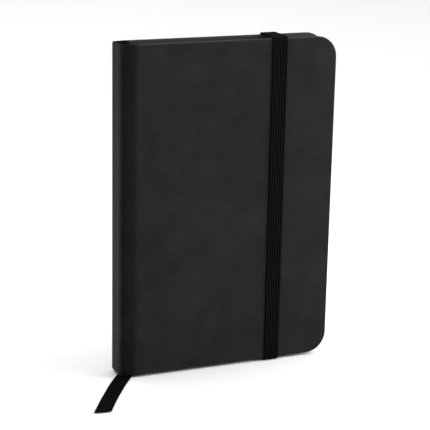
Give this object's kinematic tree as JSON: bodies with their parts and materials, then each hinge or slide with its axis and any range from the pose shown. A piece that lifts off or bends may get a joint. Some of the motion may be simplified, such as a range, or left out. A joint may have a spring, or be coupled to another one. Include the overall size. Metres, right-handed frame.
{
  "type": "pocket notebook",
  "caption": "Hard-cover pocket notebook in black leatherette with a sewn text block, a ribbon marker and an elastic closure band.",
  "frame": {"origin": "below the middle of the closed book, on the surface that it stands on", "axes": "+X from the spine to the fore edge, +Y from the front cover to the back cover, +Z from tail to head"},
  "size_m": [0.1168, 0.0452, 0.1418],
  "materials": {
    "leatherette": "matte fine-grain black",
    "greyboard": "grey pulp board",
    "endpaper": "matte ivory paper",
    "text_paper": "matte ivory paper",
    "satin_ribbon": "woven black satin",
    "elastic_webbing": "ribbed matte black webbing",
    "thread": "waxed white thread",
    "gauze": "open-weave cotton"
  },
  "bodies": {
    "text_block": {"spine_skin": "leatherette", "front_joint_skin": "leatherette", "back_joint_skin": "leatherette", "spine_card": "greyboard", "mull_lining": "gauze", "sewing_thread_1": "thread", "sewing_thread_2": "thread", "sewing_thread_3": "thread", "sewing_thread_4": "thread", "front_flyleaf_fold": "endpaper", "section_1_fold": "text_paper", "section_2_fold": "text_paper", "section_3_fold": "text_paper", "section_4_fold": "text_paper", "section_5": "text_paper", "section_6": "text_paper", "section_7": "text_paper", "section_8": "text_paper", "back_flyleaf_fold": "endpaper", "ribbon_marker": "satin_ribbon", "ribbon_glued_end": "satin_ribbon", "ribbon_head_fold": "satin_ribbon", "ribbon_tail": "satin_ribbon"},
    "front_cover": {"front_cover_skin": "leatherette", "front_board": "greyboard", "front_pastedown": "endpaper"},
    "front_flyleaf": {"front_flyleaf": "endpaper"},
    "turned_section_1": {"section_1": "text_paper"},
    "turned_section_2": {"section_2": "text_paper"},
    "turned_section_3": {"section_3": "text_paper"},
    "turned_section_4": {"section_4": "text_paper"},
    "back_cover": {"back_cover_skin": "leatherette", "back_board": "greyboard", "back_pastedown": "endpaper", "elastic_upper_end": "elastic_webbing", "elastic_lower_end": "elastic_webbing"},
    "back_flyleaf": {"back_flyleaf": "endpaper"},
    "elastic_band": {"elastic_front_run": "elastic_webbing", "elastic_head_return": "elastic_webbing", "elastic_tail_return": "elastic_webbing"}
  },
  "joints": [
    {"name": "front_cover_hinge", "type": "hinge", "parent": "text_block", "child": "front_cover", "pos_m": [-0.04355, -0.00665, 0], "axis": [0, 0, -1], "range_deg": [0, 178]},
    {"name": "front_flyleaf_turn", "type": "hinge", "parent": "text_block", "child": "front_flyleaf", "pos_m": [-0.04355, -0.00665, 0], "axis": [0, 0, -1], "range_deg": [0, 176]},
    {"name": "section_1_turn", "type": "hinge", "parent": "text_block", "child": "turned_section_1", "pos_m": [-0.04355, -0.00665, 0], "axis": [0, 0, -1], "range_deg": [0, 172]},
    {"name": "section_2_turn", "type": "hinge", "parent": "text_block", "child": "turned_section_2", "pos_m": [-0.04355, -0.00665, 0], "axis": [0, 0, -1], "range_deg": [0, 169]},
    {"name": "section_3_turn", "type": "hinge", "parent": "text_block", "child": "turned_section_3", "pos_m": [-0.04355, -0.00665, 0], "axis": [0, 0, -1], "range_deg": [0, 165]},
    {"name": "section_4_turn", "type": "hinge", "parent": "text_block", "child": "turned_section_4", "pos_m": [-0.04355, -0.00665, 0], "axis": [0, 0, -1], "range_deg": [0, 162]},
    {"name": "back_cover_hinge", "type": "hinge", "parent": "text_block", "child": "back_cover", "pos_m": [-0.04355, 0.00665, 0], "axis": [0, 0, 1], "range_deg": [0, 178]},
    {"name": "back_flyleaf_turn", "type": "hinge", "parent": "text_block", "child": "back_flyleaf", "pos_m": [-0.04355, 0.00665, 0], "axis": [0, 0, 1], "range_deg": [0, 172]},
    {"name": "elastic_pull_off", "type": "slide", "parent": "back_cover", "child": "elastic_band", "axis": [1, 0, 0], "range_m": [0, 0.032]}
  ],
  "couplings": [
    {"joint": "front_flyleaf_turn", "follows": "front_cover_hinge", "ratio": 0.985},
    {"joint": "section_1_turn", "follows": "front_cover_hinge", "ratio": 0.965},
    {"joint": "section_2_turn", "follows": "front_cover_hinge", "ratio": 0.945},
    {"joint": "section_3_turn", "follows": "front_cover_hinge", "ratio": 0.925},
    {"joint": "section_4_turn", "follows": "front_cover_hinge", "ratio": 0.905},
    {"joint": "back_flyleaf_turn", "follows": "back_cover_hinge", "ratio": 0.965}
  ]
}
